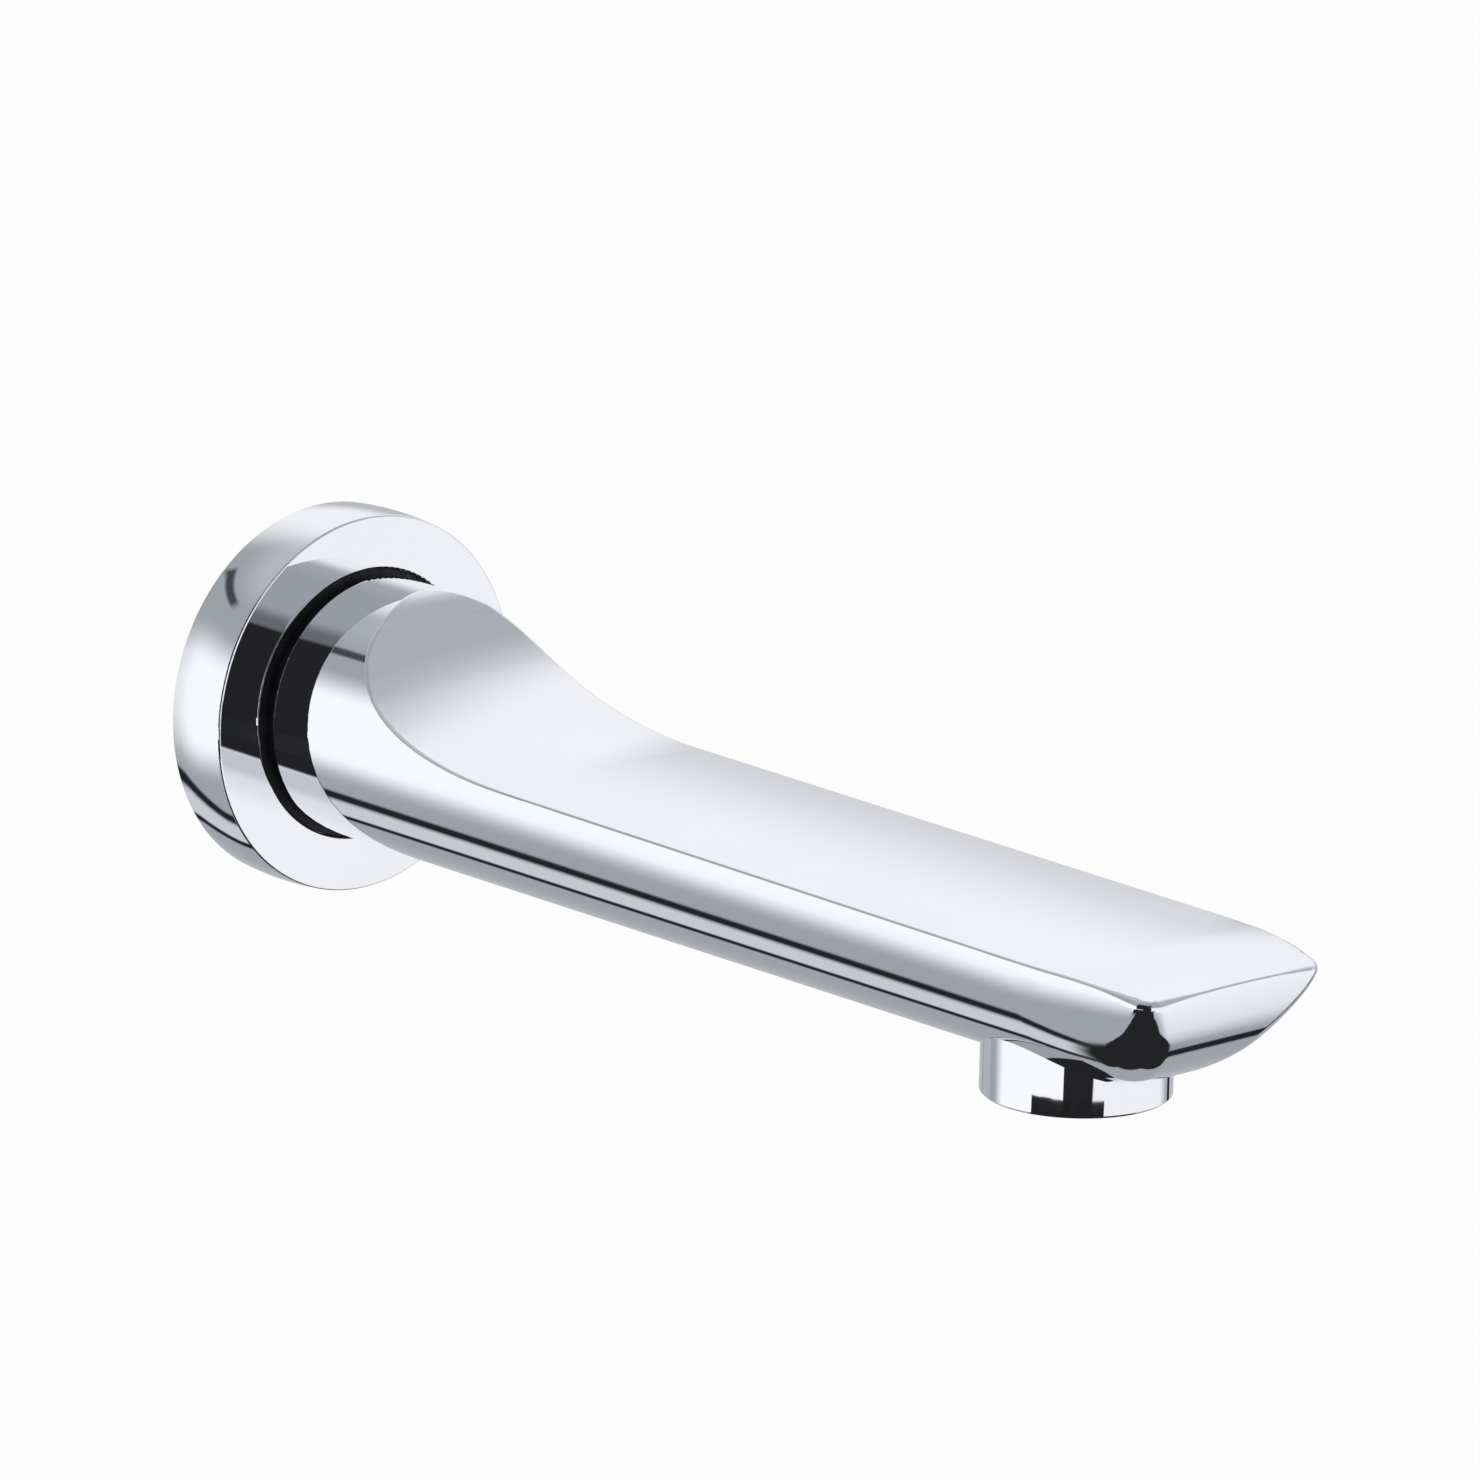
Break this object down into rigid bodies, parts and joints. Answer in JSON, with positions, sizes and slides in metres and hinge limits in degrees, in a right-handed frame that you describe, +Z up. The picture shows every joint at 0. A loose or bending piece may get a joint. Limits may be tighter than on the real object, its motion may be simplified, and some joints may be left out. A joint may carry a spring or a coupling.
{
  "type": "bath spout",
  "caption": "Chrome wall mounted bath spout: round bar with a scooped flat deck, rounded nose, outlet boss with aerator and a round wall flange.",
  "frame": {"origin": "centre of the flange's back, on the wall and on the spout's axis", "axes": "+Y into the wall, along the inlet thread; the spout reaches out along -Y; +Z up, the outlet points to -Z"},
  "size_m": [0.0654, 0.2362, 0.0654],
  "materials": {
    "chrome_plate": "polished chrome plate on cast brass",
    "raw_brass": "turned brass, not plated",
    "steel": "stainless steel set screw",
    "black_rubber": "black moulded rubber",
    "gasket_foam": "dark closed cell foam rubber",
    "aerator_plastic": "pale grey moulded plastic",
    "sieve_plastic": "grey blue moulded plastic"
  },
  "bodies": {
    "root": {"spout_body": "chrome_plate", "wall_flange": "chrome_plate", "flange_seal_ring": "black_rubber", "wall_gasket": "gasket_foam", "wall_connector": "raw_brass", "connector_o_ring_1": "black_rubber", "connector_o_ring_2": "black_rubber", "grub_screw": "steel", "aerator_housing": "aerator_plastic", "aerator_grille": "aerator_plastic", "aerator_diffuser": "aerator_plastic", "aerator_strainer": "sieve_plastic", "aerator_seal": "black_rubber"}
  },
  "joints": []
}
